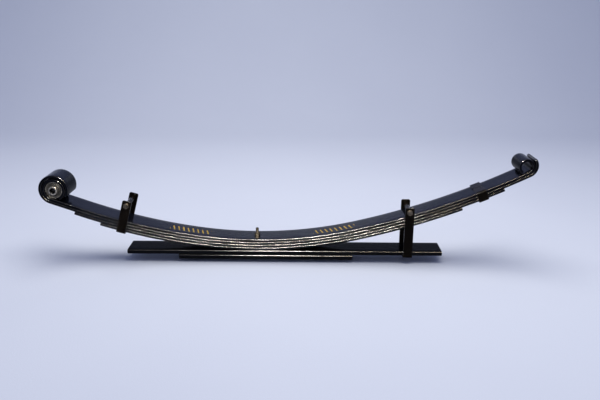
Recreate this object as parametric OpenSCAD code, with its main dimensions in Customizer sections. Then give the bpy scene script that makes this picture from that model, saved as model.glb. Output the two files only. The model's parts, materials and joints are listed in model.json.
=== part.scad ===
// Truck leaf spring: four arched leaves over two flat helper leaves, a rubber
// bush in the front eye, three kinds of leaf clip, and a centre bolt.
// +X runs to the rear eye, +Y across the leaves, +Z up, and the origin is the
// middle of the underside, where the axle seat goes. Millimetres.

/* [Leaves] */
// Width of every leaf
leaf_w = 70; // [50:1:85]
// Thickness of each arched leaf
leaf_t = 7.4; // [5:0.1:10]
// Thickness of each flat helper leaf
helper_t = 12.7; // [8:0.1:18]
// Radius of the arched leaves about the centre bolt, on the top leaf's top face
mid_r = 1120; // [800:5:2000]
// Angle of that middle arc towards the front eye
front_mid_a = 7.8; // [4:0.1:12]
// Angle of that middle arc towards the rear eye
rear_mid_a = 13.4; // [6:0.1:18]
// Radius of the front half beyond the middle arc
front_r = 1545; // [1000:5:3000]
// Angle of the front half beyond the middle arc
front_a = 11.3; // [5:0.1:16]
// Straight length before the front eye
front_flat = 80; // [40:1:140]
// Radius of the rear half beyond the middle arc
rear_r = 1995; // [1200:5:4000]
// Angle of the rear half beyond the middle arc
rear_a = 13.15; // [6:0.05:18]
// Length of the third leaf from the bolt, towards the front
third_front = 471; // [440:1:500]
// Length of the third leaf from the bolt, towards the rear
third_rear = 648; // [610:1:690]
// Length of the fourth leaf from the bolt, towards the front
fourth_front = 402; // [380:1:440]
// Length of the fourth leaf from the bolt, towards the rear
fourth_rear = 534; // [480:1:565]
// Length of the upper helper leaf, front of the bolt
helper_front = 338; // [250:1:350]
// Length of the upper helper leaf, rear of the bolt
helper_rear = 484; // [420:1:520]
// Length of the lower helper leaf, front of the bolt
plate_front = 204; // [120:1:240]
// Length of the lower helper leaf, rear of the bolt
plate_rear = 251; // [150:1:300]

/* [Eyes and bush] */
// Bore radius of the front eye
front_eye_r = 22.2; // [16:0.1:28]
// Turn of the front eye's roll
front_roll_a = 311; // [280:1:313]
// Bore radius of the rear eye
rear_eye_r = 13.5; // [10:0.1:20]
// Turn of the rear eye's roll
rear_roll_a = 300; // [280:1:303]
// How much wider than the front eye the second leaf's wrap is rolled
front_wrap_gap = 1.2; // [0.6:0.1:3]
// Turn of the second leaf's wrap round the front eye
front_wrap_a = 274; // [200:1:285]
// How much wider than the rear eye the second leaf's wrap is rolled
rear_wrap_gap = 2.0; // [0.8:0.1:4]
// Turn of the second leaf's wrap round the rear eye
rear_wrap_a = 101; // [40:1:180]
// Wall of the bush's outer shell
shell_wall = 2.4; // [1.5:0.1:4]
// Outside radius of the bush's inner sleeve
sleeve_r = 11.4; // [8:0.1:14]
// Bore radius of the bush's inner sleeve
sleeve_bore_r = 7.1; // [4:0.05:9]
// Length the sleeve stands out past the leaf on each side
sleeve_out = 4; // [0:0.5:10]
// Depth of the shell's face inside the leaf's edge
shell_in = 5; // [0:0.5:10]
// Width of rubber left on each side of the groove in its face
rubber_lip = 1.725; // [0.5:0.025:4]
// Depth of the groove in the rubber's face
rubber_groove = 2; // [0.5:0.1:6]
// How far the rubber's inner lip stands out past its face
rubber_rise = 1.5; // [0:0.1:3]

/* [Clips] */
// Width of the bolted clips' straps
strap_w = 24; // [16:0.5:28]
// Thickness of the bolted clips' straps
strap_t = 4.2; // [2.5:0.1:6]
// Gap between a leaf's edge and a clip's leg
side_gap = 1; // [0.6:0.1:3]
// Place of the front clip along the spring, from the centre bolt
front_clip_s = 347; // [340:1:375]
// Height of the front clip's bolt above the top leaf
bolt_up = 43; // [12:0.5:50]
// Gap between the tall clip's tube and the top leaf
tall_gap = 4; // [0.5:0.1:20]
// Height of a clip leg's end above its bolt
leg_end = 12.5; // [9:0.5:16]
// Place of the rear tall clip along the spring, from the centre bolt
tall_clip_x = 393.5; // [340:0.5:430]
// Clip bolt radius
clip_bolt_r = 4; // [3:0.1:5]
// Outside radius of the clips' spacer tubes
tube_r = 6; // [5.2:0.1:7]
// Place of the folded clip along the spring, from the centre bolt
fold_clip_s = 591.5; // [570:0.5:625]
// Width of the folded clip
fold_w = 26; // [16:0.5:32]
// Thickness of the folded clip
fold_t = 3; // [2:0.1:4]
// Gap left between the folded clip's tips over the top leaf
fold_open = 2; // [1:0.5:40]

/* [Centre bolt] */
// Centre bolt radius
centre_r = 4; // [3:0.1:6]
// Radius of the centre bolt's round head
head_r = 7; // [6:0.1:10]
// Depth of the centre bolt's round head
head_h = 8; // [5:0.5:12]
// Width of the centre nut across its flats
nut_af = 13; // [11:0.5:19]
// Height of the centre nut
nut_h = 8; // [5:0.1:12]
// Bolt length showing above the nut
stud_up = 13; // [4:0.5:20]

/* [Hidden] */
$fn = 96;
film = 0.1;
hair = 0.02;
lap = 0.3;
edge = 1.5;
pitch = leaf_t + film;
helper_pitch = helper_t + film;
helper_top = 2 * helper_pitch - film;
top_z = 2 * helper_pitch + 4 * pitch - film;
pack_t = 4 * pitch - film;
deg = 180 / PI;
mid_front_len = mid_r * front_mid_a / deg;
mid_rear_len = mid_r * rear_mid_a / deg;
front_len = front_r * front_a / deg;
rear_len = rear_r * rear_a / deg;
front_eye_out = front_eye_r + leaf_t;
rear_eye_out = rear_eye_r + leaf_t;
front_end_a = front_mid_a + front_a;
rear_end_a = rear_mid_a + rear_a;
clip_in = leaf_w / 2 + side_gap;
bend_r = 2;
corner_r = 4;
rivet_r = 4;
rivet_head_r = 8;
rivet_head_h = 3.5;
hole_gap = 0.2;
run_gap = 0.08;
end_gap = 0.2;
bolt_head_h = 5.3;
bolt_head_af = 13;
lock_nut_h = 8;
clip_thread_out = 3;

// height and angle of the top leaf's top face, rear half, at a distance along X
function rear_mid_x() = mid_r * sin(rear_mid_a);
function rear_cx() = (mid_r - rear_r) * sin(rear_mid_a);
function rear_cz() = mid_r + (rear_r - mid_r) * cos(rear_mid_a);
function rear_top(x) = x <= rear_mid_x()
    ? top_z + mid_r - sqrt(mid_r * mid_r - x * x)
    : top_z + rear_cz() - sqrt(rear_r * rear_r - pow(x - rear_cx(), 2));

// the tall clip's tube lies just clear of the top leaf's slope
tall_slope = asin((tall_clip_x - rear_cx()) / rear_r);
tall_bolt_z = rear_top(tall_clip_x) + (tube_r + tall_gap) / cos(tall_slope);

// ---- the spring's line -------------------------------------------------

// section of a rolled bar, x down from the line and y across the leaf; where two
// bends meet, the second is thinner by a hair and laps inside the first
module bar_section(d, t, hair = 0) {
    h = leaf_w / 2 - hair;
    x0 = d + hair;
    x1 = d + t - hair;
    polygon([
        [x0 + edge, -h], [x1 - edge, -h], [x1, -h + edge], [x1, h - edge],
        [x1 - edge, h], [x0 + edge, h], [x0, h - edge], [x0, -h + edge]
    ]);
}

// a bent bar about the Y axis, from straight down round towards +X
module arc_bar(r, a, t, hair = 0) {
    lap_a = hair > 0 ? lap / r * deg : 0;
    rotate([90, 90 + lap_a, 0])
        rotate_extrude(angle = a + 2 * lap_a)
            bar_section(r, t, hair);
}

// carries its children to the end of one bend
module bend(r, a) {
    translate([0, 0, r])
        rotate([0, -a, 0])
            translate([0, 0, -r])
                children();
}

// carries its children a distance s along the front half, on the top face
module front_at(s) {
    a1 = min(s / mid_r * deg, front_mid_a);
    a2 = min(max(s - mid_front_len, 0) / front_r * deg, front_a);
    s3 = max(s - mid_front_len - front_len, 0);
    translate([0, 0, top_z])
        mirror([1, 0, 0])
            bend(mid_r, a1)
                bend(front_r, a2)
                    translate([s3, 0, 0])
                        children();
}

// the same along the rear half
module rear_at(s) {
    a1 = min(s / mid_r * deg, rear_mid_a);
    a2 = min(max(s - mid_rear_len, 0) / rear_r * deg, rear_a);
    translate([0, 0, top_z])
        bend(mid_r, a1)
            bend(rear_r, a2)
                children();
}

// a leaf at depth d below the top face, reaching sf to the front and sr to the rear
module leaf_body(d, sf, sr) {
    a1 = min(sf / mid_r * deg, front_mid_a);
    a2 = min(max(sf - mid_front_len, 0) / front_r * deg, front_a);
    s3 = min(max(sf - mid_front_len - front_len, 0), front_flat);
    b1 = min(sr / mid_r * deg, rear_mid_a);
    b2 = min(max(sr - mid_rear_len, 0) / rear_r * deg, rear_a);
    translate([0, 0, top_z + mid_r])
        rotate([0, a1, 0])
            arc_bar(mid_r + d, a1 + b1, leaf_t);
    translate([0, 0, top_z])
        mirror([1, 0, 0])
            bend(mid_r, a1) {
                translate([0, 0, front_r])
                    arc_bar(front_r + d, a2, leaf_t, hair);
                bend(front_r, a2)
                    if (s3 > 0)
                        translate([-lap, 0, 0])
                            rotate([0, 90, 0])
                                linear_extrude(s3 + 2 * lap)
                                    bar_section(d, leaf_t, 2 * hair);
            }
    translate([0, 0, top_z])
        bend(mid_r, b1)
            translate([0, 0, rear_r])
                arc_bar(rear_r + d, b2, leaf_t, hair);
}

module bolt_hole() {
    translate([0, 0, -1])
        cylinder(r = centre_r + hole_gap, h = top_z + 10);
}

all_front = mid_front_len + front_len + front_flat;
all_rear = mid_rear_len + rear_len;

// ---- leaves ------------------------------------------------------------

module main_leaf() {
    color([0.08, 0.08, 0.09])
        difference() {
            union() {
                leaf_body(0, all_front, all_rear);
                front_at(all_front)
                    translate([0, 0, front_eye_r])
                        arc_bar(front_eye_r, front_roll_a, leaf_t);
                rear_at(all_rear)
                    translate([0, 0, rear_eye_r])
                        arc_bar(rear_eye_r, rear_roll_a, leaf_t);
            }
            bolt_hole();
        }
}

module wrapper_leaf() {
    fr = front_eye_out + film + front_wrap_gap;
    rr = rear_eye_out + film + rear_wrap_gap;
    color([0.09, 0.09, 0.1])
        difference() {
            union() {
                leaf_body(pitch, all_front, all_rear);
                front_at(all_front)
                    translate([0, 0, fr - pitch])
                        arc_bar(fr, front_wrap_a, leaf_t);
                rear_at(all_rear)
                    translate([0, 0, rr - pitch])
                        arc_bar(rr, rear_wrap_a, leaf_t);
            }
            bolt_hole();
        }
}

module third_leaf() {
    color([0.1, 0.1, 0.11])
        difference() {
            leaf_body(2 * pitch, third_front, third_rear);
            bolt_hole();
            rear_at(fold_clip_s)
                translate([0, 0, -pack_t])
                    cylinder(r = rivet_r + 0.1, h = 2 * pitch);
        }
}

module fourth_leaf() {
    color([0.11, 0.11, 0.12])
        difference() {
            leaf_body(3 * pitch, fourth_front, fourth_rear);
            bolt_hole();
            front_at(front_clip_s)
                translate([0, 0, -pack_t - 1])
                    cylinder(r = rivet_r + 0.1, h = leaf_t + 2);
        }
}

module helper(z, xf, xr) {
    h = leaf_w / 2;
    translate([-xf, 0, z])
        rotate([0, 90, 0])
            linear_extrude(xf + xr)
                polygon([
                    [-edge, -h], [-helper_t + edge, -h], [-helper_t, -h + edge],
                    [-helper_t, h - edge], [-helper_t + edge, h], [-edge, h],
                    [0, h - edge], [0, -h + edge]
                ]);
}

module upper_helper_leaf() {
    color([0.09, 0.09, 0.1])
        difference() {
            helper(helper_pitch, helper_front, helper_rear);
            bolt_hole();
            translate([tall_clip_x, 0, helper_pitch - 1])
                cylinder(r = rivet_r + 0.1, h = helper_t + 2);
        }
}

module lower_helper_leaf() {
    color([0.08, 0.08, 0.09])
        difference() {
            helper(0, plate_front, plate_rear);
            bolt_hole();
        }
}

// ---- centre bolt -------------------------------------------------------

module hex_nut(af, h, bore_r) {
    difference() {
        intersection() {
            cylinder(r = af / sqrt(3), h = h, $fn = 6);
            rotate_extrude()
                polygon([
                    [0, 0], [af / 2 - 0.2, 0], [af / 2 + 1.6, 1.1],
                    [af / 2 + 1.6, h - 1.1], [af / 2 - 0.2, h], [0, h]
                ]);
        }
        translate([0, 0, -1])
            cylinder(r = bore_r, h = h + 2);
    }
}

// turned profile of the bolt: round head below, shank, and ridges of thread
module centre_bolt() {
    z_nut = top_z + nut_h;
    z_end = z_nut + stud_up;
    step = 1.25;
    rings = floor((stud_up - 2) / step);
    ridges = [
        for (i = [0:rings - 1], k = [0, 1])
            k == 0
                ? [centre_r - 0.55, z_nut + 0.6 + i * step]
                : [centre_r, z_nut + 0.6 + (i + 0.5) * step]
    ];
    color([0.45, 0.42, 0.36])
        rotate_extrude()
            polygon(concat(
                [
                    [0, -head_h], [head_r - 1, -head_h], [head_r, -head_h + 1],
                    [head_r, 0], [centre_r, 0], [centre_r, z_nut]
                ],
                ridges,
                [[centre_r - 0.55, z_end - 1], [centre_r - 1.3, z_end], [0, z_end]]
            ));
}

module centre_nut() {
    color([0.4, 0.37, 0.3])
        translate([0, 0, top_z + film])
            hex_nut(nut_af, nut_h - film, centre_r + 0.05);
}

// ---- front bush --------------------------------------------------------

// carries children to the front eye's centre, with their Z axis along +Y
module at_front_eye() {
    front_at(all_front)
        translate([0, 0, front_eye_r])
            rotate([-90, 0, 0])
                children();
}

shell_r = front_eye_r - 0.05;
shell_len = leaf_w - 2 * shell_in;
rubber_r = shell_r - shell_wall - 0.05;
rubber_len = shell_len - 2;

module bush_outer_shell() {
    h = shell_len / 2;
    ri = shell_r - shell_wall;
    color([0.35, 0.35, 0.36])
        at_front_eye()
            rotate_extrude()
                polygon([
                    [ri + 0.5, -h], [shell_r - 0.8, -h], [shell_r, -h + 0.8],
                    [shell_r, h - 0.8], [shell_r - 0.8, h], [ri + 0.5, h],
                    [ri, h - 0.5], [ri, -h + 0.5]
                ]);
}

// rubber ring with a groove moulded in each face
module bush_rubber() {
    h = rubber_len / 2;
    ri = sleeve_r + 0.05;
    // the groove tapers to half its width at its floor
    gr = (ri + rubber_r) / 2;
    gw = (rubber_r - ri) / 2 - rubber_lip;
    gh = h - rubber_groove;
    lh = h + rubber_rise;
    color([0.12, 0.12, 0.12])
        at_front_eye()
            rotate_extrude()
                polygon([
                    [ri, -h], [gr - gw, -lh], [gr - gw / 2, -gh],
                    [gr + gw / 2, -gh], [gr + gw, -h], [rubber_r, -h],
                    [rubber_r, h], [gr + gw, h], [gr + gw / 2, gh],
                    [gr - gw / 2, gh], [gr - gw, lh], [ri, h]
                ]);
}

module bush_inner_sleeve() {
    h = leaf_w / 2 + sleeve_out;
    color([0.5, 0.5, 0.5])
        at_front_eye()
            rotate_extrude()
                polygon([
                    [sleeve_bore_r + 0.7, -h], [sleeve_r - 0.8, -h],
                    [sleeve_r, -h + 0.8], [sleeve_r, h - 0.8],
                    [sleeve_r - 0.8, h], [sleeve_bore_r + 0.7, h],
                    [sleeve_bore_r, h - 0.7], [sleeve_bore_r, -h + 0.7]
                ]);
}

// ---- bolted clips ------------------------------------------------------

// a quarter of a bent strap, inside radius bend_r, with its axis along X
module strap_bend(w, t) {
    rotate([90, 0, 90])
        translate([0, 0, -w / 2])
            rotate_extrude(angle = 90)
                translate([bend_r, 0])
                    square([t, w]);
}

// one leg and half of the floor, on the +Y side; z0 is the floor's top face
module half_strap(z0, z_bolt) {
    y0 = clip_in - bend_r;
    translate([-strap_w / 2, 0, z0 - strap_t])
        cube([strap_w, y0, strap_t]);
    translate([0, y0, z0 + bend_r])
        rotate([-90, 0, 0])
            strap_bend(strap_w, strap_t);
    translate([-strap_w / 2, clip_in, z0 + bend_r])
        cube([strap_w, strap_t, z_bolt + leg_end - corner_r - z0 - bend_r]);
    translate([-strap_w / 2 + corner_r, clip_in, z_bolt])
        cube([strap_w - 2 * corner_r, strap_t, leg_end]);
    for (x = [-1, 1])
        translate([x * (strap_w / 2 - corner_r), clip_in, z_bolt + leg_end - corner_r])
            rotate([-90, 0, 0])
                cylinder(r = corner_r, h = strap_t);
}

module strap(z0, z_bolt) {
    difference() {
        union() {
            half_strap(z0, z_bolt);
            mirror([0, 1, 0])
                half_strap(z0, z_bolt);
        }
        translate([0, -leaf_w, z_bolt])
            rotate([-90, 0, 0])
                cylinder(r = clip_bolt_r + hole_gap, h = 2 * leaf_w);
        translate([0, 0, z0 - strap_t - 1])
            cylinder(r = rivet_r + 0.1, h = strap_t + 2);
    }
}

// rivet with its head under the strap: z_low is the strap's underside
module rivet(z_low, len) {
    translate([0, 0, z_low])
        rotate_extrude()
            polygon([
                [0, -rivet_head_h], [rivet_head_r * 0.45, -rivet_head_h * 0.94],
                [rivet_head_r * 0.8, -rivet_head_h * 0.62], [rivet_head_r, 0],
                [rivet_r, 0], [rivet_r, len], [0, len]
            ]);
}

module clip_bolt(z) {
    y = clip_in + strap_t;
    translate([0, -y, z])
        rotate([-90, 0, 0]) {
            translate([0, 0, -bolt_head_h])
                rotate([0, 0, 30])
                    intersection() {
                        cylinder(r = bolt_head_af / sqrt(3), h = bolt_head_h, $fn = 6);
                        rotate_extrude()
                            polygon([
                                [0, 0], [bolt_head_af / 2 - 0.4, 0],
                                [bolt_head_af / 2 + 1.6, 1.2],
                                [bolt_head_af / 2 + 1.6, bolt_head_h], [0, bolt_head_h]
                            ]);
                    }
            translate([0, 0, -1])
                cylinder(r = clip_bolt_r, h = 2 * y + lock_nut_h + clip_thread_out + 1);
        }
}

module clip_nut(z) {
    translate([0, clip_in + strap_t + film, z])
        rotate([-90, 30, 0])
            hex_nut(bolt_head_af, lock_nut_h - film, clip_bolt_r + 0.05);
}

module spacer_tube(z) {
    h = clip_in - end_gap;
    translate([0, -h, z])
        rotate([-90, 0, 0])
            difference() {
                cylinder(r = tube_r, h = 2 * h);
                translate([0, 0, -1])
                    cylinder(r = clip_bolt_r + run_gap, h = 2 * h + 2);
            }
}

clip_floor = -pack_t - film;
rivet_len = strap_t + film + leaf_t - 0.5;

module front_clip_strap() {
    color([0.1, 0.1, 0.11])
        front_at(front_clip_s)
            strap(clip_floor, bolt_up);
}

module front_clip_rivet() {
    color([0.13, 0.13, 0.14])
        front_at(front_clip_s)
            rivet(clip_floor - strap_t, rivet_len);
}

module front_clip_bolt() {
    color([0.12, 0.12, 0.12])
        front_at(front_clip_s)
            clip_bolt(bolt_up);
}

module front_clip_spacer_tube() {
    color([0.2, 0.2, 0.21])
        front_at(front_clip_s)
            spacer_tube(bolt_up);
}

module front_clip_nut() {
    color([0.15, 0.15, 0.16])
        front_at(front_clip_s)
            clip_nut(bolt_up);
}

module tall_clip_strap() {
    color([0.1, 0.1, 0.11])
        translate([tall_clip_x, 0, 0])
            strap(helper_pitch - film, tall_bolt_z);
}

module tall_clip_rivet() {
    color([0.13, 0.13, 0.14])
        translate([tall_clip_x, 0, 0])
            rivet(helper_pitch - film - strap_t, strap_t + film + helper_t - 1);
}

module tall_clip_bolt() {
    color([0.12, 0.12, 0.12])
        translate([tall_clip_x, 0, 0])
            clip_bolt(tall_bolt_z);
}

module tall_clip_spacer_tube() {
    color([0.2, 0.2, 0.21])
        translate([tall_clip_x, 0, 0])
            spacer_tube(tall_bolt_z);
}

module tall_clip_nut() {
    color([0.15, 0.15, 0.16])
        translate([tall_clip_x, 0, 0])
            clip_nut(tall_bolt_z);
}

// ---- folded clip -------------------------------------------------------

fold_floor = -3 * pitch;
fold_over = 0.4;

module fold_bend() {
    rotate([90, 0, 90])
        translate([0, 0, -fold_w / 2])
            rotate_extrude(angle = 90)
                translate([bend_r, 0])
                    square([fold_t, fold_w]);
}

module half_fold() {
    y0 = clip_in - bend_r;
    z_leg = fold_floor + bend_r;
    z_top = fold_over - bend_r;
    translate([-fold_w / 2, 0, fold_floor - fold_t])
        cube([fold_w, y0, fold_t]);
    translate([0, y0, z_leg])
        rotate([-90, 0, 0])
            fold_bend();
    translate([-fold_w / 2, clip_in, z_leg])
        cube([fold_w, fold_t, z_top - z_leg]);
    translate([0, y0, z_top])
        fold_bend();
    translate([-fold_w / 2, fold_open / 2, fold_over])
        cube([fold_w, y0 - fold_open / 2, fold_t]);
}

module folded_clip() {
    color([0.1, 0.1, 0.11])
        rear_at(fold_clip_s)
            difference() {
                union() {
                    half_fold();
                    mirror([0, 1, 0])
                        half_fold();
                }
                translate([0, 0, fold_floor - fold_t - 1])
                    cylinder(r = rivet_r + 0.1, h = fold_t + 2);
            }
}

module folded_clip_rivet() {
    color([0.13, 0.13, 0.14])
        rear_at(fold_clip_s)
            rivet(fold_floor - fold_t, fold_t + film + leaf_t - 0.5);
}

main_leaf();
wrapper_leaf();
third_leaf();
fourth_leaf();
upper_helper_leaf();
lower_helper_leaf();
centre_bolt();
centre_nut();
bush_outer_shell();
bush_rubber();
bush_inner_sleeve();
front_clip_strap();
front_clip_rivet();
front_clip_bolt();
front_clip_spacer_tube();
front_clip_nut();
tall_clip_strap();
tall_clip_rivet();
tall_clip_bolt();
tall_clip_spacer_tube();
tall_clip_nut();
folded_clip();
folded_clip_rivet();
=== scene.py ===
# %% [markdown]
# # A truck leaf spring
#
# The object is a stack of bent steel bars that carries a truck's axle. Four
# arched leaves lie over two flat helper leaves. The longest leaf is rolled into
# an eye at each end, clips keep the leaves in line, and one bolt pins the middle.
# The CAD model gives every piece its place. This lesson rebuilds each piece with
# the rounded edges, paint and small marks that the plain CAD shapes leave out.

# %% Load the frame
import json
import math

import bmesh
import bpy
from mathutils import Matrix, Vector, noise

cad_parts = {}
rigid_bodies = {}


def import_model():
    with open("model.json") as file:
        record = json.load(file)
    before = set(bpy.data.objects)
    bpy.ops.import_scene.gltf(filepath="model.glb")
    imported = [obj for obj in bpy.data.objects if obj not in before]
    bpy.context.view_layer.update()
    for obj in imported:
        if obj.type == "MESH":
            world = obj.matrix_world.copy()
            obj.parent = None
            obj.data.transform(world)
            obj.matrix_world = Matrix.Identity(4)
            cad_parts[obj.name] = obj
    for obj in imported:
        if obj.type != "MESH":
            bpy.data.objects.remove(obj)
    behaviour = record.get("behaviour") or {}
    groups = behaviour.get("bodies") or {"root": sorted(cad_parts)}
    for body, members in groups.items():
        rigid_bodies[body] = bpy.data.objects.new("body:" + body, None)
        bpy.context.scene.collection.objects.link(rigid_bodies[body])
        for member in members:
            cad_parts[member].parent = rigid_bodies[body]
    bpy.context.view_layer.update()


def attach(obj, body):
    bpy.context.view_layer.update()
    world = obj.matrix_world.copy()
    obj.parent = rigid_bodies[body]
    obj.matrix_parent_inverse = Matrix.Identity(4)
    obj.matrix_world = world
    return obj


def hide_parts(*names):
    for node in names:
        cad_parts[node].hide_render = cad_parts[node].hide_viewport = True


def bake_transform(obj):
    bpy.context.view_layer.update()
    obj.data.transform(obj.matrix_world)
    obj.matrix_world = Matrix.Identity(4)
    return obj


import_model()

# %% [markdown]
# The camera comes first. It stands about 1.7 m in front of the spring and a
# little above it, and looks down by 17 degrees, so that the top faces show as
# thin bands above the stack of edges. It leans by less than half a degree, which
# a product shot on a small tripod often does.

# %% Camera
lens_mm = 40.99
look_down = math.radians(17.024)
lean = math.radians(0.428)

camera_data = bpy.data.cameras.new("camera")
camera_data.sensor_width = 36
camera_data.lens = lens_mm
camera = bpy.data.objects.new("camera", camera_data)
bpy.context.scene.collection.objects.link(camera)
turn = Matrix.Rotation(math.pi / 2 - look_down, 4, "X") @ Matrix.Rotation(lean, 4, "Z")
camera.matrix_world = Matrix.Translation((0.1121, -1.7007, 0.6740)) @ turn
bpy.context.scene.camera = camera
print("camera at", tuple(round(v, 3) for v in camera.location))

# %% [markdown]
# ## The line of the spring
#
# All four arched leaves follow one line: an arc over the centre bolt, a flatter
# arc towards each end, and in front a short straight before the eye. Each leaf
# is this line moved down by a whole number of leaf thicknesses, so one function
# that walks along the line can place everything that rests on the leaves.

# %% Sizes of the line
leaf_width = 0.070
leaf_thick = 0.0074
leaf_pitch = 0.0075
helper_thick = 0.0127
helper_pitch = 0.0128
top_height = 2 * helper_pitch + 4 * leaf_pitch - 0.0001
front_bends = [(1.120, math.radians(7.8)), (1.545, math.radians(11.3))]
rear_bends = [(1.120, math.radians(13.4)), (1.995, math.radians(13.15))]
front_straight = 0.080
front_length = sum(r * a for r, a in front_bends) + front_straight
rear_length = sum(r * a for r, a in rear_bends)
print("half lengths, m:", round(front_length, 4), round(rear_length, 4))


# %% Walk along the line
def walk(side, s, depth=0.0):
    """Point (x, z) at distance s from the bolt and depth below the top face, with the slope there.
    side is -1 to the front and 1 to the rear."""
    x, z, slope, left = 0.0, top_height, 0.0, s
    for radius, angle in front_bends if side < 0 else rear_bends:
        part = min(left / radius, angle)
        x += radius * (math.sin(slope + part) - math.sin(slope))
        z += radius * (math.cos(slope) - math.cos(slope + part))
        slope += part
        left -= radius * part
        if left < 1e-9:
            break
    left = max(left, 0.0)
    x += left * math.cos(slope) + depth * math.sin(slope)
    z += left * math.sin(slope) - depth * math.cos(slope)
    return x * side, z, slope


front_eye_radius = 0.0222
rear_eye_radius = 0.0135


def eye_centre(side, radius):
    """Where an eye of this inside radius sits, just above the end of the line."""
    x, z = walk(side, front_length if side < 0 else rear_length, -radius)[:2]
    return Vector((x, 0, z))


front_eye = eye_centre(-1, front_eye_radius)
rear_eye = eye_centre(1, rear_eye_radius)
print("eyes, m:", tuple(round(v, 4) for v in front_eye), tuple(round(v, 4) for v in rear_eye))

# %% [markdown]
# ## Drawing a bent bar
#
# Spring leaves are rolled bars whose edges are round, because a sharp edge would
# start a crack. The bar's section is a ring of points, and a mesh is made by
# carrying this ring along a path. A curve object with a bevel could do it too,
# but carrying the ring in code also gives each point its place on the bar, which
# the paint needs, and it lets the round edges be a little uneven.


# %% Section of a rolled bar
def bar_ring(width, thick, corner, steps=7, flats=5):
    """Points (across, up) round a bar whose top is at 0, with how far each is on a round edge."""
    ring = []
    centres = [
        (width / 2 - corner, -corner, 90), (width / 2 - corner, -thick + corner, 0),
        (-width / 2 + corner, -thick + corner, -90), (-width / 2 + corner, -corner, -180),
    ]
    for k, (cy, cz, start) in enumerate(centres):
        for i in range(steps + 1):
            a = math.radians(start - 90 * i / steps)
            edge = 1 - abs((i / steps) * 2 - 1)
            ring.append((cy + corner * math.cos(a), cz + corner * math.sin(a), 0.35 + 0.65 * edge))
        here = ring[-1]
        if k in (1, 3):
            far = -here[0]
            for i in range(1, flats):
                ring.append((here[0] + (far - here[0]) * i / flats, here[1], 0.0))
    return ring


leaf_ring = bar_ring(leaf_width, leaf_thick, 0.0026)
print("points round a leaf:", len(leaf_ring))


# %% Stations along a leaf
def line_stations(side, start, end, depth, step=0.004):
    """Places along one half of a leaf: point on its top face, the way it heads, and up."""
    count = max(2, round((end - start) / step))
    out = []
    for i in range(count + 1):
        s = start + (end - start) * i / count
        x, z, slope = walk(side, s, depth)
        ahead = Vector((side * math.cos(slope), 0, math.sin(slope)))
        up = Vector((-side * math.sin(slope), 0, math.cos(slope)))
        out.append((Vector((x, 0, z)), ahead, up))
    return out


def roll_stations(side, centre, radius, slope, turn_angle, step=math.radians(5)):
    """Places round an eye, from where the leaf meets it."""
    count = max(4, round(turn_angle / step))
    out = []
    for i in range(1, count + 1):
        a = slope + turn_angle * i / count
        ahead = Vector((side * math.cos(a), 0, math.sin(a)))
        up = Vector((-side * math.sin(a), 0, math.cos(a)))
        out.append((centre - up * radius, ahead, up))
    return out


# %% [markdown]
# The ring is carried along the stations, and a last smaller ring at a cut end
# gives the small bevel that shears leave. Two things are stored on the points:
# where the point is at rest, and how far it is on a round edge. The paint uses
# both, and they don't slide when the leaf bends.


# %% Carry a ring along a path
def uneven(home, scale, amount):
    return amount * noise.noise(home * scale)


def finish_mesh(name, points, faces, homes, edges, sharp=38):
    mesh = bpy.data.meshes.new(name)
    mesh.from_pydata(points, [], faces)
    for key, kind, values in (
        ("home", "FLOAT_VECTOR", [c for h in homes for c in h]),
        ("edge", "FLOAT", edges),
    ):
        layer = mesh.attributes.new(key, kind, "POINT")
        layer.data.foreach_set("vector" if kind == "FLOAT_VECTOR" else "value", values)
    work = bmesh.new()
    work.from_mesh(mesh)
    bmesh.ops.recalc_face_normals(work, faces=work.faces)
    work.to_mesh(mesh)
    work.free()
    mesh.shade_smooth()
    mesh.set_sharp_from_angle(angle=math.radians(sharp))
    piece = bpy.data.objects.new(name, mesh)
    bpy.context.scene.collection.objects.link(piece)
    return piece


def carry(name, stations, ring, cut_start, cut_end, bevel=0.0006, lump=0.00012, across=Vector((0, 1, 0))):
    """A mesh of the ring carried along the stations; cut ends get a small bevel."""
    middle = (min(p[1] for p in ring) + max(p[1] for p in ring)) / 2
    rows = []
    for at, ahead, up in stations:
        rows.append((at, up, True))
    if cut_start:
        at, ahead, up = stations[0]
        rows[0] = (at + ahead * bevel, up, True)
        rows.insert(0, (at, up, False))
    if cut_end:
        at, ahead, up = stations[-1]
        rows[-1] = (at - ahead * bevel, up, True)
        rows.append((at, up, False))
    points, faces, homes, edges = [], [], [], []
    for at, up, full in rows:
        for y, h, edge in ring:
            if not full:
                y -= math.copysign(min(bevel, abs(y)), y)
                h -= math.copysign(bevel, h - middle)
            home = at + across * y + up * h
            out = across * y * 0.25 + up * (h - middle)
            if out.length > 1e-9:
                out.normalize()
            push = uneven(home, 70, lump) + uneven(home, 190, lump * 0.6)
            points.append(home + out * push * edge)
            homes.append(home)
            edges.append(edge if full else 0.8)
    n = len(ring)
    for k in range(len(rows) - 1):
        for i in range(n):
            j = (i + 1) % n
            faces.append((k * n + i, k * n + j, (k + 1) * n + j, (k + 1) * n + i))
    faces.append(tuple(range(n)))
    last = (len(rows) - 1) * n
    faces.append(tuple(last + i for i in range(n)))
    return finish_mesh(name, points, faces, homes, edges)
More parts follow.
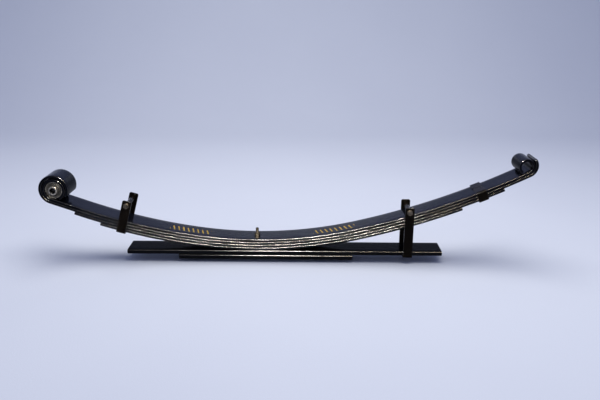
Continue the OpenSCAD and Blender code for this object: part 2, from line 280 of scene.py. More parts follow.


# %% [markdown]
# ## The paint
#
# A new spring is dipped or sprayed in gloss black. The coat is thick and soft
# looking: it sags a little, and picks up dust and rubs. Each finish is one
# material, and one function builds all the paints. Colour, roughness and bump
# come from noise measured in the metal's own place, and the round edges use the
# stored edge value for rubbed paint and a painted highlight.


# %% Node helpers
class Finish:
    """Builds one material's nodes with short calls."""

    def __init__(self, name):
        self.material = bpy.data.materials.new(name)
        self.material.use_nodes = True
        self.tree = self.material.node_tree
        self.tree.nodes.clear()
        self.out = self.add("ShaderNodeOutputMaterial")
        self.shader = self.add("ShaderNodeBsdfPrincipled")
        self.link(self.shader.outputs[0], self.out.inputs[0])

    def add(self, kind, **settings):
        node = self.tree.nodes.new(kind)
        for key, value in settings.items():
            setattr(node, key, value)
        return node

    def link(self, a, b):
        self.tree.links.new(a, b)

    def put(self, node, socket, value):
        if hasattr(value, "is_output"):
            self.link(value, node.inputs[socket])
        elif value is not None:
            node.inputs[socket].default_value = value

    def place(self, stretch=(1, 1, 1)):
        """The point's place on the metal, in metres, stretched along the axes."""
        node = self.add("ShaderNodeAttribute", attribute_name="home")
        if stretch == (1, 1, 1):
            return node.outputs["Vector"]
        scaled = self.add("ShaderNodeVectorMath", operation="MULTIPLY")
        self.put(scaled, 0, node.outputs["Vector"])
        scaled.inputs[1].default_value = stretch
        return scaled.outputs[0]

    def stored(self, key):
        return self.add("ShaderNodeAttribute", attribute_name=key).outputs["Fac"]

    def noise(self, scale, detail=3.0, rough=0.5, where=None):
        node = self.add("ShaderNodeTexNoise")
        self.put(node, "Vector", where or self.place())
        self.put(node, "Scale", scale)
        self.put(node, "Detail", detail)
        self.put(node, "Roughness", rough)
        return node.outputs["Fac"]

    def spread(self, value, low, high, to_low=0.0, to_high=1.0):
        """Value from low..high to to_low..to_high, with soft ends."""
        node = self.add("ShaderNodeMapRange", interpolation_type="SMOOTHSTEP")
        for socket, v in zip(range(5), (value, low, high, to_low, to_high)):
            self.put(node, socket, v)
        return node.outputs[0]

    def sum(self, a, b, how="ADD"):
        node = self.add("ShaderNodeMath", operation=how)
        self.put(node, 0, a)
        self.put(node, 1, b)
        return node.outputs[0]

    def mix(self, share, a, b):
        node = self.add("ShaderNodeMix", data_type="RGBA")
        self.put(node, 0, share)
        for socket, v in ((6, a), (7, b)):
            self.put(node, socket, (*v, 1.0) if isinstance(v, tuple) and len(v) == 3 else v)
        return node.outputs[2]

    def bumps(self, *layers):
        """Stacks (height, distance) layers into one normal."""
        last = None
        for height, distance in layers:
            node = self.add("ShaderNodeBump")
            node.inputs["Distance"].default_value = distance
            self.put(node, "Height", height)
            if last is not None:
                self.link(last, node.inputs["Normal"])
            last = node.outputs[0]
        self.link(last, self.shader.inputs["Normal"])


# %% [markdown]
# The gloss black has a blue cast in its depth, a slow change of gloss where it
# ran thick or thin, and a fine orange-peel skin. On the round edges the roller's
# scale shows as short bright lumps. The round edges are also painted a warm
# brown with ragged tan patches: partly thin paint with a little primer showing
# through, partly a painted highlight for the warm lines of light along the
# edges. Those edges are the glossiest part. The sides between them are duller,
# and faces that look down are painted near black as painted shade, and their
# gloss is turned down too.


# %% Gloss black paint
# The brown and the tan for the round edges are partly paint and primer, and partly a painted highlight for
# the warm lines of light along the edges.
dust_grey, edge_film_and_sheen_brown = (0.13, 0.125, 0.12), (0.014, 0.010, 0.006)
# The near black here is painted shade for faces that look down.
primer_and_sheen_tan, painted_underside_shade = (0.16, 0.12, 0.07), (0.0015, 0.0013, 0.0012)


def black_paint(name, deep, thin, gloss, rub_and_sheen, peel=0.000012, marks=False, flat_shine=0.5):
    f = Finish(name)
    cloudy = f.noise(14, 4, 0.6)
    streaky = f.noise(60, 5, 0.65, f.place((0.12, 1, 1)))
    base = f.mix(f.spread(cloudy, 0.35, 0.7), deep, thin)
    dust = f.sum(f.spread(f.noise(420, 6, 0.75), 0.62, 0.8), f.spread(streaky, 0.5, 0.75), "MULTIPLY")
    base = f.mix(f.sum(dust, 0.10, "MULTIPLY"), base, dust_grey)
    edge = f.stored("edge")
    # Round edges get a brown film and ragged tan patches: partly real paint and primer, partly a painted
    # highlight.
    edge_film_and_sheen = f.spread(edge, 0.4, 1.0)
    base = f.mix(f.sum(edge_film_and_sheen, 0.55, "MULTIPLY"), base, edge_film_and_sheen_brown)
    ragged = f.spread(f.noise(330, 5, 0.75, f.place((0.45, 1, 1))), 0.56, 0.68)
    worn_and_sheen = f.sum(f.sum(edge_film_and_sheen, ragged, "MULTIPLY"), rub_and_sheen, "MULTIPLY")
    base = f.mix(worn_and_sheen, base, primer_and_sheen_tan)
    # Faces that look down are painted near black: painted shade. Their gloss is turned down too.
    facing = f.add("ShaderNodeSeparateXYZ")
    f.link(f.add("ShaderNodeNewGeometry").outputs["Normal"], facing.inputs[0])
    unshaded_share = f.spread(facing.outputs[2], -0.75, -0.05)
    base = f.mix(unshaded_share, painted_underside_shade, base)
    if marks:
        base = yellow_strokes(f, base)
    f.put(f.shader, "Base Color", base)
    flat = f.spread(facing.outputs[2], 0.35, 0.85, 0.04, flat_shine)
    shine = f.spread(edge_film_and_sheen, 0.0, 1.0, flat, 1.0)
    dulled = f.spread(unshaded_share, 0.0, 1.0, 0.06, 1.0)
    f.put(f.shader, "Specular IOR Level", f.sum(shine, dulled, "MULTIPLY"))
    slow = f.spread(streaky, 0.3, 0.75, gloss[0], gloss[1])
    f.put(f.shader, "Roughness", f.sum(slow, f.sum(dust, 0.08, "MULTIPLY")))
    f.shader.inputs["IOR"].default_value = 1.28
    lumps = f.noise(125, 3, 0.6, f.place((0.6, 1, 1)))
    f.bumps((f.sum(lumps, edge_film_and_sheen, "MULTIPLY"), 0.0005), (f.noise(95, 2, 0.5), 0.00015),
            (f.noise(520, 2, 0.5), peel * 3), (f.noise(2600, 2, 0.5), peel))
    return f.material


# %% [markdown]
# Springs carry paint marks that tell the warehouse which is which. Here they are
# plain yellow strokes on the top face, made by a mask: bands along the leaf, cut
# to a short length across it, with a ragged brush edge.


# %% Yellow strokes
def yellow_strokes(f, base):
    parts = f.add("ShaderNodeSeparateXYZ")
    wobble = f.sum(f.noise(160, 3, 0.6), -0.5)
    f.link(f.place(), parts.inputs[0])
    x = f.sum(parts.outputs[0], f.sum(wobble, 0.003, "MULTIPLY"))
    y = f.sum(parts.outputs[1], f.sum(wobble, 0.004, "MULTIPLY"))
    band = f.sum(f.sum(f.sum(x, f.sum(y, 0.25, "MULTIPLY")), 1 / 0.0125, "MULTIPLY"), 0.0, "FRACT")
    stroke = f.spread(f.sum(f.sum(band, -0.5), 0.0, "ABSOLUTE"), 0.10, 0.17, 1, 0)
    across = f.spread(f.sum(f.sum(y, 0.003), 0.0, "ABSOLUTE"), 0.0125, 0.0140, 1, 0)
    zone = None
    for middle, half in ((-0.175, 0.053), (0.202, 0.054)):
        here = f.spread(f.sum(f.sum(x, -middle), 0.0, "ABSOLUTE"), half - 0.001, half + 0.001, 1, 0)
        zone = here if zone is None else f.sum(zone, here)
    thin = f.spread(f.noise(300, 3, 0.7), 0.3, 0.55, 0.25, 1)
    mask = f.sum(f.sum(f.sum(stroke, across, "MULTIPLY"), zone, "MULTIPLY"), thin, "MULTIPLY")
    flat = f.spread(f.stored("edge"), 0.0, 0.2, 1, 0)
    return f.mix(f.sum(f.sum(mask, flat, "MULTIPLY"), 0.8, "MULTIPLY"), base, (0.60, 0.38, 0.04))


leaf_deep, leaf_thin = (0.0030, 0.0033, 0.0055), (0.0070, 0.0078, 0.0120)
leaf_paint = black_paint("leaf_paint", leaf_deep, leaf_thin, (0.10, 0.16), 0.18)
marked_paint = black_paint("marked_leaf_paint", leaf_deep, leaf_thin, (0.10, 0.16), 0.18, marks=True)
helper_deep, helper_thin = (0.0035, 0.0035, 0.0045), (0.0075, 0.0075, 0.0085)
helper_paint = black_paint("helper_leaf_paint", helper_deep, helper_thin, (0.12, 0.22), 0.3, flat_shine=0.05)
clip_paint = black_paint("clip_paint", (0.0055, 0.0040, 0.0028), (0.016, 0.011, 0.007), (0.12, 0.24), 0.25)
print("paints:", [m.name for m in bpy.data.materials])

# %% [markdown]
# ## The arched leaves
#
# The top leaf is rolled into both eyes. The second leaf follows it all the way,
# wraps round the front eye and reaches under the rear one, so that the axle
# can't come away if the top leaf breaks. The third and fourth are plain. Each is
# made as a front half and a rear half, because each half bends between the
# middle of the spring and its own end when a load presses the eyes down.

# %% Sizes of the rolls
front_roll = math.radians(311)
rear_roll = math.radians(300)
front_wrap_radius = front_eye_radius + leaf_thick + 0.0001 + 0.0012
rear_wrap_radius = rear_eye_radius + leaf_thick + 0.0001 + 0.0020
front_wrap = math.radians(274)
rear_wrap = math.radians(101)
third_reach = (0.471, 0.648)
fourth_reach = (0.402, 0.534)


def half_leaf(name, side, depth, reach, eye=None):
    """One half of a leaf; eye is (inside radius, turn) of its roll."""
    full = front_length if side < 0 else rear_length
    stations = line_stations(side, 0.0, min(reach, full), depth)
    if eye:
        radius, turn_angle = eye
        x, z, slope = walk(side, full, depth - radius)
        stations += roll_stations(side, Vector((x, 0, z)), radius, slope, turn_angle)
    return carry(name, stations, leaf_ring, False, True)


# %% Make the arched leaves
leaf_plan = [
    ("main_leaf", 0, (front_length, rear_length),
     ((front_eye_radius, front_roll), (rear_eye_radius, rear_roll)), marked_paint),
    ("wrapper_leaf", 1, (front_length, rear_length),
     ((front_wrap_radius, front_wrap), (rear_wrap_radius, rear_wrap)), leaf_paint),
    ("third_leaf", 2, third_reach, (None, None), leaf_paint),
    ("fourth_leaf", 3, fourth_reach, (None, None), leaf_paint),
]
arched = []
for node, level, reach, eyes, paint in leaf_plan:
    for k, (side, word) in enumerate(((-1, "front"), (1, "rear"))):
        half = half_leaf(node + "_" + word, side, level * leaf_pitch, reach[k], eyes[k])
        half.data.materials.append(paint)
        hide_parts(node)
        arched.append((half, side))
print("leaf halves:", len(arched), "points:", sum(len(h.data.vertices) for h, s in arched))

# %% [markdown]
# Each half is baked in place: its placement goes into its mesh. Both
# branches do the same, and nothing here sets how a half bends under a load.

# %% Bake the arched leaves in place
for half, side in arched:
    if side < 0:
        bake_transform(half)
    else:
        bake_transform(half)
print("bending pieces:", len(arched))

# %% [markdown]
# ## The helper leaves
#
# These two are thick and flat, and they only work when the truck is loaded.
# They are straight bars, so one pass of a thicker ring does each of them.

# %% Helper leaves
helper_ring = bar_ring(leaf_width, helper_thick, 0.0042, steps=8)
upper_reach, lower_reach = (0.338, 0.484), (0.204, 0.251)


def flat_bar(name, reach, top):
    front, rear = reach
    count = 150
    stations = []
    for i in range(count + 1):
        x = -front + (front + rear) * i / count
        stations.append((Vector((x, 0, top)), Vector((1, 0, 0)), Vector((0, 0, 1))))
    bar = carry(name, stations, helper_ring, True, True, bevel=0.0009, lump=0.00016)
    bar.data.materials.append(helper_paint)
    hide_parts(name)
    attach(bar, "leaf_pack")


flat_bar("upper_helper_leaf", upper_reach, helper_pitch + helper_thick)
flat_bar("lower_helper_leaf", lower_reach, helper_thick)
print("helper leaves made")

# %% [markdown]
# ## Turned pieces
#
# The bush, rivets, tubes and the bolts' round parts all come from a lathe. A
# profile of (radius, height) pairs is spun about an axis. Small slants between
# neighbouring points stand for the broken edges that catch the light.


# %% Spin a profile
def spin(name, profile, at, axis, count=64, closed=True, wobble=0.0):
    """Spins (radius, height) pairs about axis through at. A closed profile makes a ring."""
    axis = Vector(axis).normalized()
    side = axis.orthogonal().normalized()
    other = axis.cross(side)
    points, faces, homes, edges = [], [], [], []
    m = len(profile)
    for i in range(count):
        a = 2 * math.pi * i / count
        out = side * math.cos(a) + other * math.sin(a)
        for r, h in profile:
            home = at + out * r + axis * h
            points.append(home + out * uneven(home, 120, wobble))
            homes.append(home)
            edges.append(0.0)
    for i in range(count):
        j = (i + 1) % count
        for k in range(m if closed else m - 1):
            after = (k + 1) % m
            faces.append((i * m + k, j * m + k, j * m + after, i * m + after))
    piece = finish_mesh(name, points, faces, homes, edges, sharp=30)
    work = bmesh.new()
    work.from_mesh(piece.data)
    bmesh.ops.remove_doubles(work, verts=work.verts, dist=1e-7)
    bmesh.ops.recalc_face_normals(work, faces=work.faces)
    work.to_mesh(piece.data)
    work.free()
    return piece


def rounded(points, radius, steps=3):
    """A closed profile with each corner cut by a small arc."""
    out = []
    n = len(points)
    for k in range(n):
        p, here, q = Vector(points[k - 1]), Vector(points[k]), Vector(points[(k + 1) % n])
        back, on = p - here, q - here
        cut = min(radius, back.length * 0.45, on.length * 0.45)
        a, b = here + back.normalized() * cut, here + on.normalized() * cut
        for i in range(steps + 1):
            t = i / steps
            out.append(tuple(a * (1 - t) ** 2 + here * 2 * t * (1 - t) + b * t * t))
    return out


# %% [markdown]
# ## The bush
#
# A steel shell is pressed into the front eye, rubber is moulded inside it, and a
# thick sleeve in the middle takes the pivot bolt. The steel is bare, with dull
# patches of grime. The rubber has a moulded groove and a raised lip on each
# face, which let it twist without tearing. Inside the sleeve's bore the finish
# turns black and not metallic: painted shade for the deep, narrow hole.


# %% Bare and rubbed steel
def steel(name, tint, dark, rough, painted_bore_shade=None):
    f = Finish(name)
    grime = f.spread(f.noise(90, 5, 0.7), 0.35, 0.65)
    base = f.mix(grime, dark, tint)
    f.shader.inputs["Metallic"].default_value = 0.85
    # Inside the bore the steel is painted near black and not metallic: painted shade in the deep hole.
    if painted_bore_shade:
        centre, radius = painted_bore_shade
        off = f.add("ShaderNodeVectorMath", operation="SUBTRACT")
        f.link(f.place((1, 0, 1)), off.inputs[0])
        off.inputs[1].default_value = (centre.x, 0, centre.z)
        reach = f.add("ShaderNodeVectorMath", operation="LENGTH")
        f.link(off.outputs[0], reach.inputs[0])
        outside = f.spread(reach.outputs["Value"], radius + 0.0003, radius + 0.0010)
        base = f.mix(outside, (0.004, 0.0035, 0.003), base)
        f.put(f.shader, "Metallic", f.sum(outside, 0.85, "MULTIPLY"))
    f.put(f.shader, "Base Color", base)
    f.put(f.shader, "Roughness", f.spread(f.noise(260, 4, 0.6), 0.3, 0.7, rough[0], rough[1]))
    f.bumps((f.noise(240, 3, 0.6), 0.00012), (f.noise(1800, 2, 0.5), 0.00003))
    return f.material


def moulded_rubber(name):
    f = Finish(name)
    bloom = f.spread(f.noise(70, 5, 0.7), 0.4, 0.75)
    f.put(f.shader, "Base Color", f.mix(bloom, (0.006, 0.006, 0.006), (0.020, 0.018, 0.016)))
    f.put(f.shader, "Roughness", f.spread(f.noise(300, 3, 0.6), 0.3, 0.7, 0.34, 0.6))
    f.bumps((f.noise(400, 3, 0.6), 0.0002), (f.noise(2400, 2, 0.5), 0.00004))
    return f.material


shell_steel = steel("bush_shell_steel", (0.34, 0.32, 0.28), (0.07, 0.065, 0.058), (0.2, 0.38))
sleeve_steel = steel(
    "bush_sleeve_steel", (0.42, 0.39, 0.34), (0.13, 0.12, 0.105), (0.18, 0.36), painted_bore_shade=(front_eye, 0.0071))
bush_rubber_finish = moulded_rubber("bush_rubber_finish")

# %% Bush
cross = Vector((0, 1, 0))
shell_out, shell_in, shell_half = 0.02215, 0.01975, 0.030
shell = spin("bush_outer_shell_turned", rounded([
    (shell_in, -shell_half), (shell_out - 0.0003, -shell_half), (shell_out, -shell_half + 0.002),
    (shell_out, shell_half - 0.002), (shell_out - 0.0003, shell_half), (shell_in, shell_half),
], 0.0009), front_eye, cross, 96)
shell.data.materials.append(shell_steel)
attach(shell, "front_end")
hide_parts("bush_outer_shell")

sleeve_out, sleeve_in, sleeve_half = 0.0114, 0.0071, 0.039
sleeve = spin("bush_inner_sleeve_turned", rounded([
    (sleeve_in + 0.0004, -sleeve_half), (sleeve_out - 0.0002, -sleeve_half),
    (sleeve_out, -sleeve_half + 0.0012), (sleeve_out, sleeve_half - 0.0012),
    (sleeve_out - 0.0002, sleeve_half), (sleeve_in + 0.0004, sleeve_half),
    (sleeve_in, sleeve_half - 0.0008), (sleeve_in, -sleeve_half + 0.0008),
], 0.0006), front_eye, cross, 72)
sleeve.data.materials.append(sleeve_steel)
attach(sleeve, "bush_sleeve")
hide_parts("bush_inner_sleeve")

# %% Rubber of the bush
face = [
    (0.01150, 0.0312), (0.0128, 0.0312), (0.0136, 0.0286), (0.0146, 0.0274),
    (0.0158, 0.0278), (0.0166, 0.0296), (0.0176, 0.0296), (0.0184, 0.0278), (0.01965, 0.0282),
]
rubber_profile = [(r, -h) for r, h in face] + [(r, h) for r, h in reversed(face)]
rubber = spin("bush_rubber_moulded", rounded(rubber_profile, 0.0008, 2), front_eye, cross, 72, wobble=0.00008)
rubber.data.materials.append(bush_rubber_finish)
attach(rubber, "front_end")
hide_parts("bush_rubber")
print("bush made at", tuple(round(v, 4) for v in front_eye))

# %% [markdown]
# ## The bolted clips
#
# Each clip is a strip bent into a U. The front one is riveted under the fourth
# leaf and stands square to it. The tall one is riveted under the upper helper
# leaf, stands upright, and reaches up past the whole pack. A strip is made with
# the same kind of ring as a leaf, carried down one leg, across the floor and up
# the other. Its width shrinks over the last few millimetres, which rounds the
# corners of its ends.

# %% A place on the spring
def place_on(side, s):
    """A matrix whose origin is on the top face at s, with X along the leaf and Z square to it."""
    x, z, slope = walk(side, s)
    return Matrix.Translation((x, 0, z)) @ Matrix.Rotation(-side * slope, 4, "Y")


strap_wide, strap_thick, strap_inside, bend_inside = 0.024, 0.0042, 0.036, 0.002


def strip_path(points, bend, step=0.004):
    """Stations along a polyline in Y and Z with rounded bends: (place, heading)."""
    out = []
    pts = [Vector((0, *p)) for p in points]
    for k in range(len(pts) - 1):
        a, b = pts[k], pts[k + 1]
        way = (b - a).normalized()
        start = a + way * bend if k else a
        end = b - way * bend if k < len(pts) - 2 else b
        count = max(1, round((end - start).length / step))
        for i in range(count + 1):
            out.append((start + (end - start) * i / count, way))
        if k < len(pts) - 2:
            onward = (pts[k + 2] - b).normalized()
            centre = end + onward * bend
            for i in range(1, 7):
                swing = math.pi / 2 * i / 7
                out.append((centre - onward * bend * math.cos(swing) + way * bend * math.sin(swing),
                            way * math.cos(swing) + onward * math.sin(swing)))
    return out


# %% Bend a strip
def bent_strip(name, points, wide, thick, bend, at, corner_cut, paint):
    """A strip whose outer face follows the points; its inside is on the left of the heading."""
    path = strip_path(points, bend)
    length = [0.0]
    for k in range(1, len(path)):
        length.append(length[-1] + (path[k][0] - path[k - 1][0]).length)
    total = length[-1]
    ring = bar_ring(wide, thick, thick * 0.28, steps=4, flats=3)
    middle = -thick / 2
    # extra stations near the ends, where the corners are rounded
    tips = [corner_cut * t for t in (0.0, 0.08, 0.2, 0.4, 0.65, 1.0)]
    start, way0 = path[0]
    stop, way1 = path[-1]
    rows = [(start + way0 * t, way0, t) for t in tips]
    clear = corner_cut * 1.05
    rows += [(p, w, length[k]) for k, (p, w) in enumerate(path) if clear < length[k] < total - clear]
    rows += [(stop - way1 * t, way1, total - t) for t in reversed(tips)]
    verts, faces, homes, edges = [], [], [], []
    for p, w, s in rows:
        from_end = min(s, total - s)
        lost = 0.0
        if from_end < corner_cut:
            u = corner_cut - from_end
            lost = corner_cut - math.sqrt(max(corner_cut ** 2 - u ** 2, 0.0))
        share = (wide / 2 - lost) / (wide / 2)
        inner = w.cross(Vector((1, 0, 0)))
        for x, h, edge in ring:
            flat_end = 1.0 if from_end > 1e-6 else 0.86
            lift = -(h * flat_end + middle * (1 - flat_end))
            local = p + Vector((1, 0, 0)) * x * share + inner * lift
            home = at @ local
            push = uneven(home, 90, 0.00012) * edge
            verts.append(home + (at.to_3x3() @ inner) * push)
            homes.append(home)
            edges.append(edge if from_end > 1e-6 else 0.7)
    n = len(ring)
    for k in range(len(rows) - 1):
        for i in range(n):
            j = (i + 1) % n
            faces.append((k * n + i, k * n + j, (k + 1) * n + j, (k + 1) * n + i))
    faces.append(tuple(range(n)))
    last = (len(rows) - 1) * n
    faces.append(tuple(last + i for i in range(n)))
    piece = finish_mesh(name, verts, faces, homes, edges, sharp=50)
    piece.data.materials.append(paint)
    return piece


# %% Make both bolted clips
leg_end, corner_round = 0.0125, 0.0042
front_clip_at = place_on(-1, 0.347)
front_bolt_up = 0.043
front_floor = -4 * leaf_pitch
tall_x = 0.3935
tube_radius, tall_gap = 0.006, 0.004
near_curve, near_angle = rear_bends[0]
far_curve = rear_bends[1][0]
tall_centre_x = (near_curve - far_curve) * math.sin(near_angle)
tall_centre_z = top_height + near_curve + (far_curve - near_curve) * math.cos(near_angle)
tall_slope = math.asin((tall_x - tall_centre_x) / far_curve)
tall_leaf_top = tall_centre_z - math.sqrt(far_curve ** 2 - (tall_x - tall_centre_x) ** 2)
tall_bolt_up = tall_leaf_top + (tube_radius + tall_gap) / math.cos(tall_slope)
tall_clip_at = Matrix.Translation((tall_x, 0, 0))


def clip_strap(word, body, at, floor, bolt_up):
    """One clip's U, from the floor under the leaves to just past its bolt."""
    y = strap_inside + strap_thick
    low, high = floor - strap_thick, bolt_up + leg_end
    points = [(y, high), (y, low), (-y, low), (-y, high)]
    bend = bend_inside + strap_thick
    strap = bent_strip(word + "_clip_strap_bent", points, strap_wide, strap_thick, bend, at,
                       corner_round, clip_paint)
    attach(strap, body)
    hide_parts(word + "_clip_strap")


tall_floor = helper_pitch - 0.0001
clip_strap("front", "front_end", front_clip_at, front_floor, front_bolt_up)
clip_strap("tall", "leaf_pack", tall_clip_at, tall_floor, tall_bolt_up)
print("tall clip bolt height, m:", round(tall_bolt_up, 4))

# %% [markdown]
# ## Bolts and nuts
#
# A hexagon whose corners are turned away at the top and bottom can be drawn as
# one surface: at each angle and height the radius is the smaller of the hexagon
# and the cone. The thread is drawn the same way, with a radius that follows a
# helix. That keeps both as simple grids of points.


# %% Grid of radii
def grid_solid(name, radius_at, heights, at, axis, count, sharp=32):
    """A closed solid whose radius is radius_at(angle, height)."""
    axis = Vector(axis).normalized()
    side = Vector((0, 0, 1)) if abs(axis.z) < 0.9 else Vector((1, 0, 0))
    other = axis.cross(side)
    points, faces, homes, edges = [], [], [], []
    for h in heights:
        for i in range(count):
            a = 2 * math.pi * i / count
            home = at + axis * h + (side * math.cos(a) + other * math.sin(a)) * radius_at(a, h)
            points.append(home)
            homes.append(home)
            edges.append(0.25)
    for k in range(len(heights) - 1):
        for i in range(count):
            j = (i + 1) % count
            faces.append((k * count + i, k * count + j, (k + 1) * count + j, (k + 1) * count + i))
    faces.append(tuple(range(count)))
    last = (len(heights) - 1) * count
    faces.append(tuple(last + i for i in range(count)))
    return finish_mesh(name, points, faces, homes, edges, sharp)


def hexagon(flats, high, chamfer=0.0012, both=True):
    """radius_at and heights for a hexagon across flats, turned at its top and, if both, its bottom."""
    def radius_at(a, h):
        corner = (a % (math.pi / 3)) - math.pi / 6
        hexed = flats / 2 / math.cos(corner)
        to_face = high - h
        if both:
            to_face = min(to_face, h)
        return min(hexed, flats / 2 - 0.0003 + to_face * 1.55)
    low = [0.0, 0.0003, 0.0007, chamfer] if both else [0.0]
    return radius_at, low + [high * 0.35, high * 0.65] + [high - chamfer, high - 0.0007, high - 0.0003, high]


def thread(radius, pitch, start, end, fade=0.0008, groove=0.00062, point=0.0009):
    """radius_at and heights for a threaded rod whose end tapers over the length fade."""
    def radius_at(a, h):
        phase = (h / pitch - a / (2 * math.pi)) % 1.0
        depth = abs(phase * 2 - 1)
        tip = min(1.0, (end - h) / fade)
        return radius - groove * depth ** 1.3 - (1 - tip) * point
    count = max(2, round((end - start) / pitch * 7))
    return radius_at, [start + (end - start) * i / count for i in range(count + 1)]


# %% Join turned parts into one piece
def joined(name, pieces, material, body, slot, *nodes):
    work = bmesh.new()
    for p in pieces:
        work.from_mesh(p.data)
    mesh = bpy.data.meshes.new(name)
    work.to_mesh(mesh)
    work.free()
    for p in pieces:
        bpy.data.objects.remove(p)
    piece = bpy.data.objects.new(name, mesh)
    bpy.context.scene.collection.objects.link(piece)
    piece.data.materials.append(material)
    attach(piece, body)
    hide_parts(*nodes)


clip_steel = steel("fastener_steel", (0.13, 0.11, 0.085), (0.035, 0.029, 0.022), (0.22, 0.4))
centre_steel = steel("centre_bolt_steel", (0.110, 0.092, 0.066), (0.030, 0.025, 0.018), (0.32, 0.5))
bolt_radius, hole_radius, thread_pitch, hex_flats = 0.004, 0.0041, 0.00125, 0.013
head_high, nut_high, flange_radius, clip_stub = 0.0053, 0.0065, 0.0072, 0.0109


# %% Clip bolts, nuts and tubes
def clip_hardware(word, body, tube_body, at, bolt_up):
    """The bolt, nut and spacer tube of one clip; at's Y axis is the bolt's."""
    axis = Vector((0, 1, 0))
    middle = at @ Vector((0, 0, bolt_up))
    y = strap_inside + strap_thick
    head_at = middle - axis * y
    radius_at, heights = hexagon(hex_flats, head_high, both=False)
    head = grid_solid("head", radius_at, heights, head_at, -axis, 96)
    flange = [(hole_radius, 0.0), (flange_radius, 0.0), (flange_radius, 0.0005), (hole_radius, 0.0005)]
    washer = spin("washer", rounded(flange, 0.0002), head_at, -axis, 48)
    rod = [(0.0, -0.001), (bolt_radius, -0.001), (bolt_radius, 2 * y + 0.001), (0.0, 2 * y + 0.001)]
    shank = spin("shank", rod, head_at, axis, 40, closed=False)
    radius_at, heights = thread(bolt_radius, thread_pitch, 2 * y, 2 * y + clip_stub)
    tip = grid_solid("tip", radius_at, heights, head_at, axis, 40)
    joined(word + "_clip_bolt_turned", [head, washer, shank, tip], clip_steel,
           body, "clip_fastener", word + "_clip_bolt")

    nut_at = middle + axis * (y + 0.0001)
    radius_at, heights = hexagon(hex_flats, nut_high)
    nut = grid_solid("nut", radius_at, heights, nut_at, axis, 96)
    lock = [(hole_radius, 0.0064), (0.0055, 0.0064), (0.0050, 0.0079), (0.0042, 0.0079)]
    collar = spin("collar", rounded(lock, 0.0004), nut_at, axis, 48)
    joined(word + "_clip_nut_turned", [nut, collar], clip_steel,
           body, "clip_fastener", word + "_clip_nut")

    half = strap_inside - 0.0002
    wall = [(hole_radius, -half), (tube_radius, -half), (tube_radius, half), (hole_radius, half)]
    tube = spin(word + "_clip_spacer_tube_drawn", rounded(wall, 0.0005), middle, axis, 48, wobble=0.00008)
    tube.data.materials.append(clip_paint)
    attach(tube, tube_body)
    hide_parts(word + "_clip_spacer_tube")


clip_hardware("front", "front_end", "front_clip_tube", front_clip_at, front_bolt_up)
clip_hardware("tall", "leaf_pack", "tall_clip_tube", tall_clip_at, tall_bolt_up)
print("clip bolts made")

# %% [markdown]
# ## Rivets and the folded clip
#
# Cold rivets have a low dome that is never quite round. The folded clip is a
# thinner strip, closed over the top leaf with a hammer. Its two tips nearly meet
# over the middle of the leaf, and they stand a hair clear of the paint.


# %% Rivets
def rivet(name, body, at, low, length):
    """A headed rivet whose head hangs below the height low; length is how far it goes up."""
    dome = [(0.0, -0.0034), (0.0022, -0.0033), (0.0043, -0.0029), (0.0061, -0.0021), (0.0073, -0.0011),
            (0.0079, -0.0002), (0.0079, 0.0), (0.004, 0.0), (0.004, length), (0.0, length)]
    up = at.to_3x3() @ Vector((0, 0, 1))
    piece = spin(name + "_headed", dome, at @ Vector((0, 0, low)), up, 48, closed=False, wobble=0.00025)
    piece.data.materials.append(clip_paint)
    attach(piece, body)
    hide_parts(name)


fold_at = place_on(1, 0.5915)
fold_wide, fold_thick, fold_floor = 0.026, 0.003, -3 * leaf_pitch
leaf_grip, helper_grip = 0.007, 0.0118
rivet("front_clip_rivet", "front_end", front_clip_at, front_floor - strap_thick, strap_thick + leaf_grip)
rivet("tall_clip_rivet", "leaf_pack", tall_clip_at, tall_floor - strap_thick, strap_thick + helper_grip)
rivet("folded_clip_rivet", "rear_end", fold_at, fold_floor - fold_thick, fold_thick + leaf_grip)

# %% Folded clip
fold_gap, fold_reach, fold_corner = 0.0004, 0.001, 0.003
fold_y = strap_inside + fold_thick
fold_low, fold_high = fold_floor - fold_thick, fold_gap + fold_thick
folded = bent_strip("folded_clip_bent", [
    (fold_reach, fold_high), (fold_y, fold_high), (fold_y, fold_low),
    (-fold_y, fold_low), (-fold_y, fold_high), (-fold_reach, fold_high),
], fold_wide, fold_thick, bend_inside + fold_thick, fold_at, fold_corner, clip_paint)
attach(folded, "rear_end")
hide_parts("folded_clip")
print("folded clip made")

# %% [markdown]
# ## The centre bolt
#
# One bolt holds the stack. Its round head stands out below and drops into the
# hole in the axle's seat, and its nut and a stub of thread show on top.

# %% Centre bolt and nut
top = Vector((0, 0, top_height))
up = Vector((0, 0, 1))
origin = Vector((0, 0, 0))
centre_stub, centre_nut_high = 0.0209, 0.0079
dowel_line = [(0.0, -0.008), (0.0062, -0.008), (0.007, -0.0072), (0.007, 0.0), (0.0, 0.0)]
dowel = spin("dowel", rounded(dowel_line, 0.0004), origin, up, 64)
shank_top = top_height + 0.001
shank_line = [(0.0, -0.001), (bolt_radius, -0.001), (bolt_radius, shank_top), (0.0, shank_top)]
shank = spin("shank", shank_line, origin, up, 40, closed=False)
radius_at, heights = thread(bolt_radius, thread_pitch, 0.0, centre_stub)
stub = grid_solid("stub", radius_at, heights, top, up, 48)
joined("centre_bolt_turned", [dowel, shank, stub], centre_steel,
       "leaf_pack", "centre_fastener", "centre_bolt")
radius_at, heights = hexagon(hex_flats, centre_nut_high)
nut = grid_solid("nut", radius_at, heights, top + up * 0.0001, up, 96)
joined("centre_nut_turned", [nut], centre_steel, "leaf_pack", "centre_fastener", "centre_nut")
print("centre bolt made")

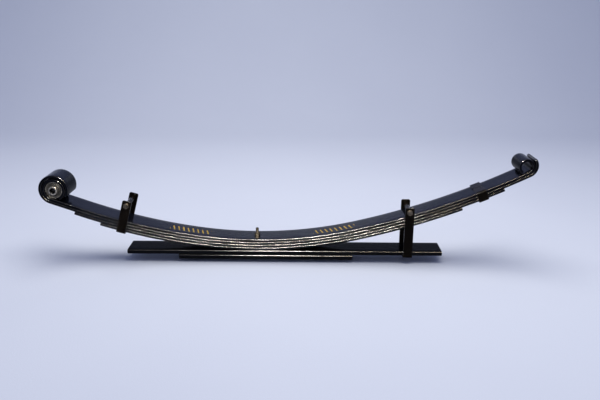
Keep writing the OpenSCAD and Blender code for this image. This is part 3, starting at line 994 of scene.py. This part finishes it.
# %% [markdown]
# ## The studio
#
# The spring stands in a plain pale sweep, under one broad soft light overhead.
# Two lights in front, a long warm one and a short white one, draw the thin
# bright lines on the round edges. Black gloss paint is seen mostly by what it
# reflects, so each light has one job: the overhead light fills and makes the
# shadow but isn't reflected, and the front lights are only reflected, and only
# by the spring. The sweep isn't part of the object.

# %% Floor and back
def studio_paper():
    f = Finish("studio_paper")
    co = f.add("ShaderNodeTexCoord").outputs["Object"]
    tone = f.noise(1.5, 3, 0.5, co)
    f.put(f.shader, "Base Color", f.mix(tone, (0.61, 0.635, 0.69), (0.66, 0.685, 0.73)))
    f.put(f.shader, "Roughness", f.spread(tone, 0.2, 0.8, 0.75, 0.85))
    f.bumps((f.noise(300, 2, 0.5, co), 0.0002))
    return f.material


floor_z = -0.008
bend_r, back_y, front_y, wall_high, half_wide = 0.8, 2.4, -4.0, 1.0, 6.0
sweep_line = [(front_y, 0.0), (back_y - bend_r, 0.0)]
for i in range(1, 17):
    a = math.pi / 2 * i / 16
    sweep_line.append((back_y - bend_r + bend_r * math.sin(a), bend_r - bend_r * math.cos(a)))
sweep_line.append((back_y, wall_high))
verts = [(x, y, floor_z + z) for y, z in sweep_line for x in (-half_wide, half_wide)]
faces = [(2 * i, 2 * i + 1, 2 * i + 3, 2 * i + 2) for i in range(len(sweep_line) - 1)]
paper_mesh = bpy.data.meshes.new("floor")
paper_mesh.from_pydata(verts, [], faces)
paper_mesh.shade_smooth()
paper = bpy.data.objects.new("floor", paper_mesh)
paper_mesh.materials.append(studio_paper())
bpy.context.scene.collection.objects.link(paper)


# %% Lights
def soft_light(name, place, aim, size, power, colour):
    data = bpy.data.lights.new(name, "AREA")
    data.shape = "RECTANGLE"
    data.size, data.size_y = size
    data.energy = power
    data.color = colour
    lamp = bpy.data.objects.new(name, data)
    facing = (Vector(aim) - Vector(place)).to_track_quat("-Z", "Y").to_matrix().to_4x4()
    lamp.matrix_world = Matrix.Translation(place) @ facing
    bpy.context.scene.collection.objects.link(lamp)
    return lamp


overhead = soft_light("overhead", (0.2, 0.1, 2.3), (0.1, 0, 0.05), (2.6, 1.6), 62, (1.0, 0.99, 0.97))
overhead.visible_glossy = False
spring_only = bpy.data.collections.new("spring_only")
for piece in bpy.data.objects:
    if piece.type == "MESH" and piece is not paper:
        spring_only.objects.link(piece)
for lamp in (
    soft_light("warm_strip", (0.70, -2.10, 1.42), (0.25, 0, 0.08), (1.8, 0.10), 120, (1.0, 0.82, 0.56)),
    soft_light("white_key", (0.0, -2.10, 1.42), (0.05, 0, 0.08), (0.34, 0.16), 240, (1.0, 0.96, 0.89)),
):
    lamp.light_linking.receiver_collection = spring_only
    lamp.visible_camera = False
    lamp.visible_diffuse = False
world = bpy.data.worlds.new("studio")
world.use_nodes = True
world.node_tree.nodes["Background"].inputs[0].default_value = (0.21, 0.245, 0.42, 1)
world.node_tree.nodes["Background"].inputs[1].default_value = 1.0
bpy.context.scene.world = world
bpy.context.scene.view_settings.view_transform = "Standard"
print("studio ready")
